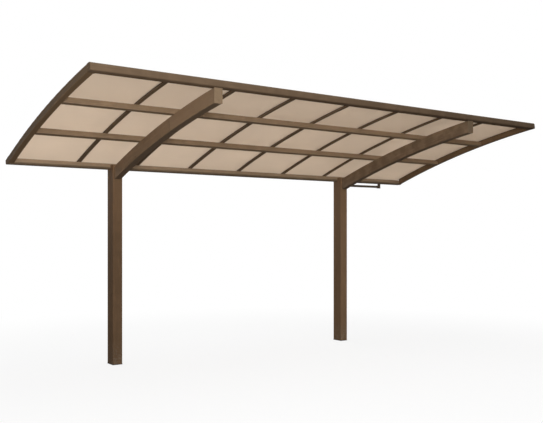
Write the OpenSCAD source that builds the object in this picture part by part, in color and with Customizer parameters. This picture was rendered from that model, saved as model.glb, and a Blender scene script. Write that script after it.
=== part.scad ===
// Cantilever cycle port: two rear posts carry two arched box beams and a curved sheet roof.
// X runs along the roof, +Y is the low rear side and +Z is up.
// The origin is the centre of the left post's foot, on the ground.

/* [Roof] */
// Distance between neighbouring rafters
bay_pitch = 704; // [560:1:860]
// Horizontal distance from the front face to the rear face of the roof
roof_depth = 2434; // [1980:1:2900]
// Radius of the rafters' underside
roof_radius = 12250; // [9500:50:22000]
// Slope of the roof above the gutter's front wall, in degrees
rear_pitch = 19.1; // [12:0.1:22]
// Distance from an end rafter line to the outer face of a side frame
side_overhang = 71; // [60:1:90]
// Thickness of a roof sheet
sheet_t = 3; // [2:0.5:4]

/* [Posts] */
// Height of the gutter's underside above the ground
clear_h = 2235; // [1800:5:2600]
// Width of a post along the roof
post_w = 114; // [96:1:140]
// Depth of a post from front to back
post_d = 162; // [130:1:190]
// Wall of a post
post_wall = 3; // [2:0.5:5]
// Rounding of a post's long edges
post_r = 6; // [3:0.5:10]
// Distance from an end line of the roof to a post's centre line
post_inset = 1126; // [700:1:1500]
// Height of the post's front part above the gutter's underside
post_head = 49; // [30:1:54]

/* [Beams and purlins] */
// Width of a beam
beam_w = 82; // [64:1:90]
// Depth of a beam
beam_h = 138; // [110:1:170]
// Wall of a beam
beam_wall = 3; // [2:0.5:5]
// Thickness of the plate that closes a beam's free end
beam_cap_t = 8; // [5:1:14]
// Side of a square purlin
purlin_s = 55; // [44:1:62]
// Wall of a purlin
purlin_wall = 2.5; // [2:0.5:4]
// Distance from the gutter's front wall to the rear purlin
purlin_first = 735; // [560:5:820]
// Distance between the purlins
purlin_pitch = 771; // [600:1:820]

/* [Frames and rafters] */
// Width of a rafter
rafter_w = 40; // [34:1:50]
// Height of a rafter
rafter_h = 15; // [12:1:30]
// Width of a side frame
side_w = 55; // [44:1:58]
// Depth of the front frame
front_d = 68; // [60:1:90]
// Depth of the side and front frames below the rafters' underside
frame_drop = 49; // [36:1:60]
// Rounding of the front frame's upper and lower edge
nose_r = 20; // [10:1:24]
chin_r = 12; // [6:1:16]
// Height of the side and front frames above the sheet
lip_h = 4; // [3:0.5:8]
// Wall of the frames and rafters
frame_wall = 2.5; // [2:0.5:4]
// Depth to which a sheet sits in the frames' grooves
groove_d = 14; // [10:1:18]

/* [Gutter and drain] */
// Width of the gutter
gutter_w = 115; // [100:1:150]
// Height of the gutter
gutter_h = 64; // [54:1:80]
// Height of the gutter's rear wall
gutter_rear_h = 42; // [36:1:48]
// Rounding of the gutter's lower edges
gutter_r = 26; // [12:1:28]
// Wall of the gutter
gutter_wall = 2.5; // [2:0.5:4]
// How far the gutter stands out behind the posts
gutter_overhang = 29; // [20:1:60]
// Distance from the right post's centre line to the outlet
outlet_x = 790; // [400:1:900]
// Outer diameter of the drain pipe
pipe_d = 32; // [28:1:40]
// Wall of the drain pipe
pipe_wall = 2; // [1.5:0.5:3]
// Height of the horizontal pipe's axis below the gutter
pipe_drop = 44; // [42:1:70]

/* [Hidden] */
$fn = 96;

BAYS = 8;
BRONZE = [0.40, 0.32, 0.25];
SMOKE = [0.72, 0.65, 0.56, 0.6];

// Running gap between a curved face and what lies on it
seat = 0.1;
// Gap between butted pieces
butt = 0.3;
// Thickness of the end caps, and the width and height of the rim round their outer faces
cap_t = 5;
rim_w = 4;
rim_h = 1.4;
foot_plate = 8;
head_plate = 4;

// Ends of the roof and the posts along X
line_a = -post_inset;
line_b = line_a + BAYS * bay_pitch;
roof_a = line_a - side_overhang;
roof_b = line_b + side_overhang;
right_x = line_b - post_inset;
frame_a = roof_a + cap_t;
frame_b = roof_b - cap_t;

// Front and rear of the roof, and the gutter's front wall, along Y
rear_y = post_d / 2 + gutter_overhang;
front_y = rear_y - roof_depth;
gutter_y = rear_y - gutter_w;
post_front = -post_d / 2;

// Centre of the roof's arc, which passes over the top of the gutter's front wall
arc_y = gutter_y - roof_radius * sin(rear_pitch);
arc_z = clear_h + gutter_h - roof_radius * cos(rear_pitch);
function roof_angle(y, up = 0) = asin((y - arc_y) / (roof_radius + up));
function roof_z(y, up) = arc_z + sqrt((roof_radius + up) ^ 2 - (y - arc_y) ^ 2);

// Levels above the rafters' underside
beam_top = -purlin_s;
sheet_low = rafter_h + seat;
sheet_top = sheet_low + sheet_t;
frame_low = -frame_drop;
frame_top = sheet_top + lip_h;

front_angle = roof_angle(front_y + front_d / 2);
behind_front = front_angle + asin((front_d / 2 + butt) / roof_radius);
in_groove = front_angle + asin((front_d / 2 - groove_d + 2) / roof_radius);
// How far rafters and sheets reach past the gutter's front wall
rafter_reach = 24;
sheet_reach = 55;
rafter_end = roof_angle(gutter_y + rafter_reach);
sheet_end = roof_angle(gutter_y + sheet_reach);

// Half of the gap between the edges of neighbouring sheets
sheet_gap = 7;
// Inner face of a side frame, from an end rafter line, outwards
side_inner = side_overhang - side_w;

outlet_y = gutter_y + gutter_w / 2;
pipe_z = clear_h - pipe_drop;
clip_gap = 8;
shoe_z = 90;
downpipe_y = post_d / 2 + clip_gap + pipe_d / 2;
drain_x = right_x + outlet_x;
drain_turn = atan((downpipe_y - outlet_y) / outlet_x);
drain_run = norm([outlet_x, downpipe_y - outlet_y]);
socket_d = pipe_d + 7;
socket_l = 16;
bend_r = 26;
fit = 0.3;

// Places flat pieces on the roof: local y runs down the slope and local z stands square to it.
module on_roof(angle) {
    translate([0, arc_y, arc_z]) rotate([-angle, 0, 0]) translate([0, 0, roof_radius]) children();
}

// Sweeps an outline along the roof's arc. Its x is the height above the rafters' underside,
// and its y is the place along the roof.
module roof_sweep(from, to) {
    translate([0, arc_y, arc_z]) rotate([0, -90, 180])
        rotate_extrude(start = -to, angle = to - from)
            translate([roof_radius, 0]) children();
}

// Extrudes an outline of (y, z) along X.
module along_x(from, to) {
    translate([from, 0, 0]) rotate([90, 0, 90]) linear_extrude(to - from) children();
}

module rounded(size, r) {
    translate([r, 0]) square([size.x - 2 * r, size.y]);
    translate([0, r]) square([size.x, size.y - 2 * r]);
    for (x = [r, size.x - r], y = [r, size.y - r]) translate([x, y]) circle(r);
}

module tube_outline(size, wall, r) {
    difference() {
        rounded(size, r);
        translate([wall, wall]) square([size.x - 2 * wall, size.y - 2 * wall]);
    }
}

// ---- posts ----

module post(x) {
    head = clear_h + post_head;
    notch_y = gutter_y - 2;
    color(BRONZE) translate([x, 0, 0]) difference() {
        translate([-post_w / 2, -post_d / 2, 0]) linear_extrude(head) rounded([post_w, post_d], post_r);
        translate([-post_w / 2 + post_wall, -post_d / 2 + post_wall, foot_plate])
            cube([post_w - 2 * post_wall, post_d - 2 * post_wall, clear_h - foot_plate - head_plate]);
        translate([-post_w / 2 + post_wall, -post_d / 2 + post_wall, foot_plate])
            cube([post_w - 2 * post_wall, notch_y + post_d / 2 - 2 * post_wall, head - foot_plate - head_plate]);
        translate([-post_w, notch_y, clear_h]) cube([2 * post_w, post_d, post_head + 1]);
    }
}

module left_post() { post(0); }
module right_post() { post(right_x); }

// ---- beams ----

module beam(x) {
    end_y = front_y + beam_cap_t;
    color(BRONZE) intersection() {
        roof_sweep(roof_angle(end_y, beam_top), roof_angle(post_front, beam_top - beam_h))
            translate([beam_top - beam_h, x - beam_w / 2])
                tube_outline([beam_h, beam_w], beam_wall, 2.9);
        translate([x - beam_w, end_y, 0]) cube([2 * beam_w, post_front - end_y, 4 * clear_h]);
    }
}

module beam_cap(x) {
    top = roof_z(front_y + beam_cap_t, beam_top) - 0.5;
    low = roof_z(front_y + beam_cap_t, beam_top - beam_h) - 2;
    w = beam_w + 4;
    color(BRONZE) translate([x - w / 2, front_y + beam_cap_t, low]) rotate([90, 0, 0]) difference() {
        linear_extrude(beam_cap_t) rounded([w, top - low], 6);
        translate([rim_w, rim_w, beam_cap_t - rim_h]) linear_extrude(rim_h + 1)
            rounded([w - 2 * rim_w, top - low - 2 * rim_w], 2);
    }
}

module left_beam() { beam(0); }
module right_beam() { beam(right_x); }
module left_beam_cap() { beam_cap(0); }
module right_beam_cap() { beam_cap(right_x); }

// ---- purlins ----

module purlin(y) {
    from = line_a - side_inner + butt;
    to = line_b + side_inner - butt;
    end_plate = 3;
    color(BRONZE) on_roof(roof_angle(y)) difference() {
        along_x(from, to) translate([-purlin_s / 2, -purlin_s]) rounded([purlin_s, purlin_s - seat], 2.4);
        along_x(from + end_plate, to - end_plate)
            translate([-purlin_s / 2 + purlin_wall, -purlin_s + purlin_wall])
                square([purlin_s - 2 * purlin_wall, purlin_s - seat - 2 * purlin_wall]);
    }
}

module front_purlin() { purlin(gutter_y - purlin_first - purlin_pitch); }
module rear_purlin() { purlin(gutter_y - purlin_first); }

// ---- front frame ----

// Outline of the front frame, drawn inset: x runs down the slope and y stands square to it.
module nose(inset = 0) {
    from = [-front_d / 2 + inset, frame_low + inset];
    size = [front_d - 2 * inset, frame_top - frame_low - 2 * inset];
    chin = chin_r - inset;
    brow = nose_r - inset;
    translate(from) {
        translate([chin, 0]) square([size.x - chin, size.y - brow]);
        translate([brow, chin]) square([size.x - brow, size.y - chin]);
        translate([0, chin]) square([size.x, size.y - chin - brow]);
        translate([chin, chin]) circle(chin);
        translate([brow, size.y - brow]) circle(brow);
    }
}

module front_frame() {
    groove_low = sheet_low - 0.3;
    web = 2;
    upper = web / 2;
    color(BRONZE) on_roof(front_angle) along_x(frame_a, frame_b) difference() {
        nose();
        // chamber below the web
        intersection() {
            nose(frame_wall);
            translate([-front_d, frame_low]) square([2 * front_d, frame_drop - web / 2]);
        }
        // chamber behind the nose, and the one below the groove
        intersection() {
            nose(frame_wall);
            translate([-front_d, upper]) square([1.5 * front_d - groove_d - frame_wall, 2 * frame_top]);
        }
        translate([front_d / 2 - groove_d, upper])
            square([groove_d - frame_wall, groove_low - frame_wall - upper]);
        // groove that takes the sheets' front edges
        translate([front_d / 2 - groove_d, groove_low]) square([groove_d + 1, sheet_t + 0.7]);
        // drip groove along the underside
        translate([-front_d / 2 + chin_r + 5, frame_low - 1]) square([4, 2.2]);
    }
}

// A cap's outer face is sunk inside its rim. side is -1 for the left end and 1 for the right end.
module front_cap(side) {
    x = side < 0 ? roof_a : roof_b - cap_t;
    face = side < 0 ? roof_a - 1 : roof_b - rim_h;
    color(BRONZE) on_roof(front_angle) difference() {
        along_x(x, x + cap_t) nose();
        along_x(face, face + rim_h + 1) nose(rim_w);
    }
}

module front_frame_left_cap() { front_cap(-1); }
module front_frame_right_cap() { front_cap(1); }

// ---- side frames ----

// Section of a side frame: x is the height, y runs inwards from the outer face.
module side_outline() {
    groove_low = sheet_low - 0.3;
    edge_r = 5;
    web = 2;
    difference() {
        union() {
            translate([frame_low, edge_r]) square([frame_top - frame_low, side_w - edge_r]);
            translate([frame_low + edge_r, 0]) square([frame_top - frame_low - 2 * edge_r, side_w]);
            translate([frame_low + edge_r, edge_r]) circle(edge_r);
            translate([frame_top - edge_r, edge_r]) circle(edge_r);
        }
        // chamber below the web, the one below the groove, and the one beside it
        translate([frame_low + frame_wall, frame_wall])
            square([frame_drop - frame_wall - web / 2, side_w - 2 * frame_wall]);
        translate([web / 2, side_w - groove_d])
            square([groove_low - frame_wall - web / 2, groove_d - frame_wall]);
        translate([web / 2, frame_wall])
            square([frame_top - frame_wall - web / 2, side_w - groove_d - 2 * frame_wall]);
        // groove that takes the sheet's edge
        translate([groove_low, side_w - groove_d]) square([sheet_t + 0.7, groove_d + 1]);
        // line along the outer face
        translate([web, -1]) square([1.6, 2.2]);
    }
}

module side_frame() {
    intersection() {
        roof_sweep(behind_front, roof_angle(gutter_y - butt, frame_low)) children();
        translate([-10 * post_inset, front_y, 0])
            cube([20 * post_inset + BAYS * bay_pitch, gutter_y - butt - front_y, 4 * clear_h]);
    }
}

module left_side_frame() { color(BRONZE) side_frame() translate([0, roof_a]) side_outline(); }
module right_side_frame() {
    color(BRONZE) side_frame() translate([0, roof_b]) mirror([0, 1]) side_outline();
}

// ---- rafters, covers and sheets ----

// Section of a rafter, with a screw slot and two gasket grooves in its top.
module rafter_outline() {
    wall = 2;
    floor_h = 4.5;
    difference() {
        rounded([rafter_h, rafter_w], 1.9);
        translate([rafter_h - 3, -1]) square([4, 3]);
        translate([rafter_h - 3, rafter_w - 2]) square([4, 3]);
        translate([wall, wall]) square([rafter_h - wall - floor_h, rafter_w - 2 * wall]);
        translate([rafter_h - 3, rafter_w / 2 - 2]) square([4, 4]);
        for (y = [4.5, rafter_w - 8.5]) translate([rafter_h - 1.6, y]) square([3, 4]);
    }
}

module rafter(i) {
    color(BRONZE) roof_sweep(behind_front, rafter_end)
        translate([0, line_a + i * bay_pitch - rafter_w / 2]) rafter_outline();
}

module cover(i) {
    low = sheet_top + seat;
    leg = 4;
    color(BRONZE) roof_sweep(behind_front, sheet_end)
        translate([0, line_a + i * bay_pitch]) {
            polygon([[low, -rafter_w / 2], [low + 1.5, -rafter_w / 2], [low + 4, -rafter_w / 2 + 7],
                [low + 4, -1.2], [low + 3.2, 0], [low + 4, 1.2],
                [low + 4, rafter_w / 2 - 7], [low + 1.5, rafter_w / 2], [low, rafter_w / 2]]);
            translate([rafter_h + seat, -leg]) square([low + 1 - rafter_h - seat, 2 * leg]);
        }
}

module panel(i) {
    a = i == 1 ? roof_a + side_w - groove_d + 2 : line_a + (i - 1) * bay_pitch + sheet_gap;
    b = i == BAYS ? roof_b - side_w + groove_d - 2 : line_a + i * bay_pitch - sheet_gap;
    color(SMOKE) roof_sweep(in_groove, sheet_end)
        translate([sheet_low, a]) square([sheet_t, b - a]);
}

// ---- gutter ----

module trough(w, h, r) {
    translate([0, r]) square([w, h - r]);
    translate([r, 0]) square([w - 2 * r, h]);
    for (y = [r, w - r]) translate([y, r]) circle(r);
}

module gutter_section() {
    flange = 14;
    rear_lip = 10;
    fall = tan(rear_pitch);
    top = gutter_h - butt;
    difference() {
        union() {
            difference() {
                trough(gutter_w, gutter_h, gutter_r);
                translate([gutter_wall, gutter_wall])
                    trough(gutter_w - 2 * gutter_wall, gutter_h, gutter_r - gutter_wall);
                // the rear wall is lower, so that a full gutter spills to the rear
                translate([gutter_w / 2, gutter_rear_h]) square([gutter_w, gutter_h]);
            }
            // flange that the rafters lie on
            polygon([[1, top - 2 * gutter_wall], [flange, top - gutter_wall - flange * fall],
                [flange, gutter_h - 1], [1, gutter_h - 1]]);
            // lip along the top of the rear wall
            translate([gutter_w - rear_lip, gutter_rear_h - gutter_wall])
                square([rear_lip - 1, gutter_wall]);
            translate([gutter_w - rear_lip, gutter_rear_h - 7]) square([2, 6]);
        }
        // the front wall and its flange end under the slope of the rafters
        polygon([[-1, top + fall], [2 * flange, top - 2 * flange * fall],
            [2 * flange, gutter_h + 1], [-1, gutter_h + 1]]);
    }
}

module gutter() {
    color(BRONZE) difference() {
        translate([0, gutter_y, clear_h]) along_x(frame_a, frame_b) gutter_section();
        translate([drain_x, outlet_y, clear_h - 1]) cylinder(d = pipe_d + 2 * fit, h = 20);
    }
}

// Outline of the gutter's end, drawn inset. Its sloping top carries on the line of the side frames.
module gutter_end(inset = 0) {
    slope = roof_angle(gutter_y, frame_top);
    front_top = roof_z(gutter_y, frame_top) - clear_h;
    rear_top = max(front_top - gutter_w * tan(slope), gutter_rear_h + 2);
    drop = inset / cos(slope);
    intersection() {
        translate([inset, inset]) trough(gutter_w - 2 * inset, 2 * gutter_h, gutter_r - inset);
        polygon([[0, 0], [gutter_w, 0], [gutter_w, rear_top - drop], [0, front_top - drop]]);
    }
}

module gutter_cap(side) {
    x = side < 0 ? roof_a : roof_b - cap_t;
    face = side < 0 ? roof_a - 1 : roof_b - rim_h;
    // tongue that covers the end of the side frame above the gutter
    tongue = side_w - groove_d - cap_t;
    tongue_top = roof_z(gutter_y + 3, frame_top) - clear_h - 0.5;
    color(BRONZE) translate([0, gutter_y, clear_h]) {
        difference() {
            along_x(x, x + cap_t) gutter_end();
            along_x(face, face + rim_h + 1) gutter_end(rim_w);
        }
        translate([side < 0 ? frame_a - 1 : frame_b - tongue, 0, gutter_h + butt])
            cube([tongue + 1, 3, tongue_top - gutter_h - butt]);
    }
}

module gutter_left_cap() { gutter_cap(-1); }
module gutter_right_cap() { gutter_cap(1); }

// ---- drain ----

module pipe(length, d = pipe_d) {
    difference() {
        cylinder(d = d, h = length);
        translate([0, 0, -1]) cylinder(d = pipe_d - 2 * pipe_wall, h = length + 2);
    }
}

// Quarter bend from the vertical, above the origin, to the horizontal along -X.
// Both ends carry sockets that take the pipe.
module elbow() {
    difference() {
        union() {
            translate([-bend_r, 0, bend_r]) rotate([90, 0, 0])
                rotate_extrude(start = -90, angle = 90) translate([bend_r, 0]) circle(d = pipe_d + 2);
            translate([0, 0, bend_r]) cylinder(d = socket_d, h = socket_l);
            translate([-bend_r, 0, 0]) rotate([0, -90, 0]) cylinder(d = socket_d, h = socket_l);
        }
        translate([-bend_r, 0, bend_r]) rotate([90, 0, 0])
            rotate_extrude(start = -90, angle = 90)
                translate([bend_r, 0]) circle(d = pipe_d - 2 * pipe_wall);
        translate([0, 0, bend_r]) cylinder(d = pipe_d + fit, h = socket_l + 1);
        translate([-bend_r, 0, 0]) rotate([0, -90, 0]) cylinder(d = pipe_d + fit, h = socket_l + 1);
    }
}

// Square elbow with the same ends, and a cleaning plug at its foot.
module square_elbow() {
    body_d = socket_d + 3;
    foot = pipe_d / 2 + 5;
    difference() {
        union() {
            translate([0, 0, -foot]) cylinder(d = body_d, h = foot + bend_r + socket_l);
            translate([0, 0, -foot]) cylinder(d = body_d + 3, h = 7);
            rotate([0, -90, 0]) cylinder(d = socket_d, h = bend_r + socket_l);
        }
        translate([0, 0, -pipe_d / 2]) cylinder(d = pipe_d - 2 * pipe_wall, h = pipe_d + bend_r);
        rotate([0, -90, 0]) cylinder(d = pipe_d - 2 * pipe_wall, h = 2 * bend_r + socket_l);
        translate([0, 0, bend_r]) cylinder(d = pipe_d + fit, h = socket_l + 1);
        translate([-bend_r, 0, 0]) rotate([0, -90, 0]) cylinder(d = pipe_d + fit, h = socket_l + 1);
    }
}

module gutter_outlet() {
    flange = 2;
    top = clear_h + gutter_wall;
    low = pipe_z + bend_r + 1;
    color(BRONZE) translate([drain_x, outlet_y, low]) difference() {
        union() {
            cylinder(d = pipe_d, h = top + flange - low);
            translate([0, 0, top - low]) cylinder(d = pipe_d + 16, h = flange);
        }
        translate([0, 0, -1]) cylinder(d = pipe_d - 2 * pipe_wall, h = pipe_drop);
    }
}

module outlet_elbow() {
    color(BRONZE) translate([drain_x, outlet_y, pipe_z]) rotate([0, 0, -drain_turn])
        square_elbow();
}

module drain_pipe() {
    color(BRONZE) translate([drain_x, outlet_y, pipe_z]) rotate([0, 0, -drain_turn])
        translate([-bend_r - 1, 0, 0]) rotate([0, -90, 0]) pipe(drain_run - 2 * bend_r - 2);
}

module downpipe_elbow() {
    color(BRONZE) translate([right_x, downpipe_y, pipe_z]) rotate([0, 180, -drain_turn]) elbow();
}

module downpipe() {
    low = shoe_z + bend_r + 1;
    color(BRONZE) translate([right_x, downpipe_y, low]) pipe(pipe_z - bend_r - 1 - low);
}

module pipe_clip(z) {
    height = 22;
    ear = 11;
    translate([right_x, downpipe_y, z]) difference() {
        union() {
            cylinder(d = pipe_d + 7, h = height);
            translate([-pipe_d / 2 - ear, post_d / 2 - downpipe_y, 0]) cube([pipe_d + 2 * ear, 3, height]);
            translate([-6, post_d / 2 - downpipe_y, 0]) cube([12, clip_gap, height]);
        }
        translate([0, 0, -1]) cylinder(d = pipe_d + fit, h = height + 2);
    }
}

module pipe_clips() {
    color(BRONZE) for (share = [0.15, 0.5, 0.85]) pipe_clip(share * clear_h);
}

module downpipe_shoe() {
    color(BRONZE) translate([right_x, downpipe_y, shoe_z]) rotate([0, 0, 180]) elbow();
}

left_post();
right_post();
left_beam();
right_beam();
left_beam_cap();
right_beam_cap();
front_purlin();
rear_purlin();
front_frame();
front_frame_left_cap();
front_frame_right_cap();
gutter();
gutter_left_cap();
gutter_right_cap();
left_side_frame();
right_side_frame();
rafter(1);  // rafter_1
rafter(2);  // rafter_2
rafter(3);  // rafter_3
rafter(4);  // rafter_4
rafter(5);  // rafter_5
rafter(6);  // rafter_6
rafter(7);  // rafter_7
cover(1);  // cover_1
cover(2);  // cover_2
cover(3);  // cover_3
cover(4);  // cover_4
cover(5);  // cover_5
cover(6);  // cover_6
cover(7);  // cover_7
panel(1);  // panel_1
panel(2);  // panel_2
panel(3);  // panel_3
panel(4);  // panel_4
panel(5);  // panel_5
panel(6);  // panel_6
panel(7);  // panel_7
panel(8);  // panel_8
gutter_outlet();
outlet_elbow();
drain_pipe();
downpipe_elbow();
downpipe();
pipe_clips();
downpipe_shoe();
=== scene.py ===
"""Finish and small fittings of a cantilever cycle port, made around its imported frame.

Two rear posts carry two arched beams, and purlins and rafters on them hold a curved roof of tinted
sheets. X runs along the roof, +Y is the low rear side and +Z is up. All sizes are in metres.
"""

import math

import bmesh
import bpy
import numpy as np
from bpy.props import FloatProperty, FloatVectorProperty, IntProperty, PointerProperty
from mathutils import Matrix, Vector


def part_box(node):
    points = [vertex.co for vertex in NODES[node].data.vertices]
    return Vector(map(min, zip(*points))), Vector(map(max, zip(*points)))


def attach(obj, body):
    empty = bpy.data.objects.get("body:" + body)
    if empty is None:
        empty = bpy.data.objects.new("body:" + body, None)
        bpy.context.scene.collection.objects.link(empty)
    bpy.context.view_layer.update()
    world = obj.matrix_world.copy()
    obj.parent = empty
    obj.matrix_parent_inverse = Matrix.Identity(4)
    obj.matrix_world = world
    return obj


bl_info = {
    "name": "Cantilever Cycle Port",
    "version": (1, 0, 0),
    "blender": (4, 5, 0),
    "location": "View3D > Sidebar > Cycle Port",
    "description": "Gives a cantilever cycle port its finishes, seals, screws and studio",
    "category": "Object",
}

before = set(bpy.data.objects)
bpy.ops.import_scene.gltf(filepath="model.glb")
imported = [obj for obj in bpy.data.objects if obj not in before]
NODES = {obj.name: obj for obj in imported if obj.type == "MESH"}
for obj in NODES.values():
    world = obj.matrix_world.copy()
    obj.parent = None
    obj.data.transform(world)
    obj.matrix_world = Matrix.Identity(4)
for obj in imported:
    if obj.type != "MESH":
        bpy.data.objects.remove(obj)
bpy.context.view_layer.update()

BAYS = sum(name.startswith("panel_") for name in NODES)
RAFTERS = [f"rafter_{i}" for i in range(1, BAYS)]
COVERS = [f"cover_{i}" for i in range(1, BAYS)]
PANELS = [f"panel_{i}" for i in range(1, BAYS + 1)]
POSTS = ["left_post", "right_post"]
BEAMS = ["left_beam", "right_beam"]
PURLINS = ["front_purlin", "rear_purlin"]
SIDE_FRAMES = ["left_side_frame", "right_side_frame"]
BEAM_CAPS = ["left_beam_cap", "right_beam_cap"]
FRONT_CAPS = ["front_frame_left_cap", "front_frame_right_cap"]
GUTTER_CAPS = ["gutter_left_cap", "gutter_right_cap"]
DRAIN = ["gutter_outlet", "outlet_elbow", "drain_pipe", "downpipe_elbow", "downpipe"]
DRAIN += ["pipe_clips", "downpipe_shoe"]

# Where the two lengths of a beam meet, and where its bolts are, along y
SPLICE_Y = -1.464
BOLT_Y = -0.652

# Share of a screw's head that a bar of its cross recess is wide
RECESS_WIDTH = 0.13


class RoofArc:
    """The arc that the roof follows, measured on a sheet. Heights count from the sheets' underside."""

    def __init__(self, node):
        points = self.outline(node)
        lower = points
        for _ in range(3):
            system = np.c_[2 * lower, np.ones(len(lower))]
            self.y, self.z, _rest = np.linalg.lstsq(system, (lower**2).sum(1), rcond=None)[0]
            reach = np.hypot(*(points - (self.y, self.z)).T)
            lower = points[reach < (reach.min() + reach.max()) / 2]
        self.radius = reach.min()

    @staticmethod
    def outline(node):
        """The (y, z) of a node's vertices."""
        return np.array([vertex.co[1:] for vertex in NODES[node].data.vertices])

    def levels(self, node):
        """Lowest and highest height that a node reaches."""
        reach = np.hypot(*(self.outline(node) - (self.y, self.z)).T) - self.radius
        return reach.min(), reach.max()

    def span(self, node):
        """Angles at which a node begins, at the front, and ends, at the rear."""
        offset = self.outline(node) - (self.y, self.z)
        angles = np.arctan2(offset[:, 0], offset[:, 1])
        return angles.min(), angles.max()

    def angle(self, y, height=0.0):
        """The angle at which the arc, or a line above it, passes a place along y."""
        return math.asin((y - self.y) / (self.radius + height))

    def point(self, x, angle, height):
        """The point at a place along x, an angle and a height."""
        reach = self.radius + height
        return Vector((x, self.y + reach * math.sin(angle), self.z + reach * math.cos(angle)))

    def line(self, x, start, end, height, steps=48):
        """Points along the arc at one height."""
        return [self.point(x, start + (end - start) * i / steps, height) for i in range(steps + 1)]


def up_from(angle):
    """Direction square to the roof at an angle of its arc."""
    return Vector((0, math.sin(angle), math.cos(angle)))


def middle(name):
    """The middle of a node's box."""
    low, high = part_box(name)
    return (low + high) / 2


def steps_along(name, axis):
    """The places along one axis at which a node has vertices, 0.1 mm apart or more."""
    return sorted({round(vertex.co[axis], 4) for vertex in NODES[name].data.vertices})


def around(x, y, z, reach, turn):
    """The point at a distance and a turn from an upright line."""
    return Vector((x + reach * math.cos(turn), y + reach * math.sin(turn), z))


def tangent_at(angle):
    """Direction along the roof, towards the rear, at an angle of its arc."""
    return Vector((0, math.cos(angle), -math.sin(angle)))


roof = RoofArc("panel_4")


# ---- node trees ----


class Value:
    """The output of a node. Arithmetic on it adds Math nodes."""

    def __init__(self, graph, socket):
        self.graph = graph
        self.socket = socket

    def math(self, operation, *terms):
        return self.graph.node("ShaderNodeMath", {"operation": operation}, dict(enumerate(terms)))

    def __add__(self, other):
        return self.math("ADD", self, other)

    def __sub__(self, other):
        return self.math("SUBTRACT", self, other)

    def __rsub__(self, other):
        return self.math("SUBTRACT", other, self)

    def __mul__(self, other):
        return self.math("MULTIPLY", self, other)

    __radd__, __rmul__ = __add__, __mul__

    def __abs__(self):
        return self.math("ABSOLUTE", self)

    def least(self, other):
        return self.math("MINIMUM", self, other)

    def most(self, other):
        return self.math("MAXIMUM", self, other)

    def above(self, low, high):
        """0 below low and 1 above high, with a soft step between them."""
        return self.graph.node(
            "ShaderNodeMapRange",
            {"interpolation_type": "SMOOTHSTEP"},
            {"Value": self, "From Min": low, "From Max": high},
        )


class Graph:
    """Adds nodes to one tree, of a material or of geometry."""

    def __init__(self, tree):
        self.tree = tree
        tree.nodes.clear()

    def node(self, kind, settings=None, sockets=None, output=0):
        """Adds one node: its type, its settings, and its sockets' values or links."""
        made = self.tree.nodes.new(kind)
        for key, value in (settings or {}).items():
            setattr(made, key, value)
        for key, value in (sockets or {}).items():
            for one in value if isinstance(value, list) else [value]:
                if isinstance(one, Value):
                    self.tree.links.new(one.socket, made.inputs[key])
                else:
                    made.inputs[key].default_value = one
        return Value(self, made.outputs[output]) if made.outputs else made

    def mix(self, factor, first, second):
        return self.node(
            "ShaderNodeMix", {"data_type": "RGBA"}, {0: factor, 6: first, 7: second}, output=2
        )

    def vector(self, operation, *terms, output=0):
        sockets = dict(enumerate(terms))
        return self.node("ShaderNodeVectorMath", {"operation": operation}, sockets, output)

    def place(self):
        """Object coordinates, whole and as three numbers."""
        whole = self.node("ShaderNodeTexCoord", output="Object")
        split = self.node("ShaderNodeSeparateXYZ", sockets={0: whole})
        return whole, [Value(self, socket) for socket in split.socket.node.outputs]

    def join(self, x, y, z):
        return self.node("ShaderNodeCombineXYZ", sockets={0: x, 1: y, 2: z})

    def noise(self, vector, scale, detail=4.0, roughness=0.5):
        return self.node(
            "ShaderNodeTexNoise",
            sockets={"Vector": vector, "Scale": scale, "Detail": detail, "Roughness": roughness},
        )

    def facing_up(self):
        """The upward part of the surface's direction."""
        normal = self.node("ShaderNodeTexCoord", output="Normal")
        return self.node("ShaderNodeSeparateXYZ", sockets={0: normal}, output=2)

    def bump(self, height, strength, distance, below=None):
        sockets = {"Height": height, "Strength": strength, "Distance": distance}
        if below:
            sockets["Normal"] = below
        return self.node("ShaderNodeBump", sockets=sockets)

    def surface(self, **sockets):
        """Ends the material in one Principled shader."""
        given = {key.replace("_", " "): value for key, value in sockets.items()}
        shader = self.node("ShaderNodeBsdfPrincipled", sockets=given)
        self.node("ShaderNodeOutputMaterial", sockets={"Surface": shader})

    def block(self, *sides):
        return self.node("GeometryNodeMeshCube", sockets={"Size": self.join(*sides)})

    def moved(self, shape, x, y, z):
        place = self.join(x, y, z)
        return self.node("GeometryNodeTransform", sockets={"Geometry": shape, "Translation": place})

    def boolean(self, operation, sockets):
        settings = {"operation": operation, "solver": "EXACT"}
        return self.node("GeometryNodeMeshBoolean", settings, sockets)

    def union(self, *parts):
        return self.boolean("UNION", {1: list(parts)})

    def cut(self, solid, *tools):
        return self.boolean("DIFFERENCE", {0: solid, 1: list(tools)})


def new_material(name):
    material = bpy.data.materials.new(name)
    material.use_nodes = True
    return material, Graph(material.node_tree)


def shade(colour, factor):
    """A colour made darker or lighter, with its opacity."""
    return (*(min(1.0, part * factor) for part in colour[:3]), 1.0)


# ---- finishes ----


def arc_place(graph, y, z):
    """Distance along the roof's arc from its crown, and height above the sheets' underside."""
    back = y - roof.y
    rise = z - roof.z
    reach = graph.vector("LENGTH", graph.join(0.0, back, rise), output="Value")
    return back.math("ARCTAN2", back, rise) * roof.radius, reach - roof.radius


def from_nearest(value, *centres):
    """Distance from the nearest of some middles."""
    nearest, *others = [abs(value - centre) for centre in centres]
    for gap in others:
        nearest = nearest.least(gap)
    return nearest


def rubbed_corners(across, half, up, low, high):
    """1 along the long corners of a box section, which hands and ladders rub."""
    side = across.above(half - 0.007, half - 0.0015)
    inside = up.above(low + 0.0015, low + 0.007) * (1 - up.above(high - 0.007, high - 0.0015))
    return side * (1 - inside)


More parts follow.
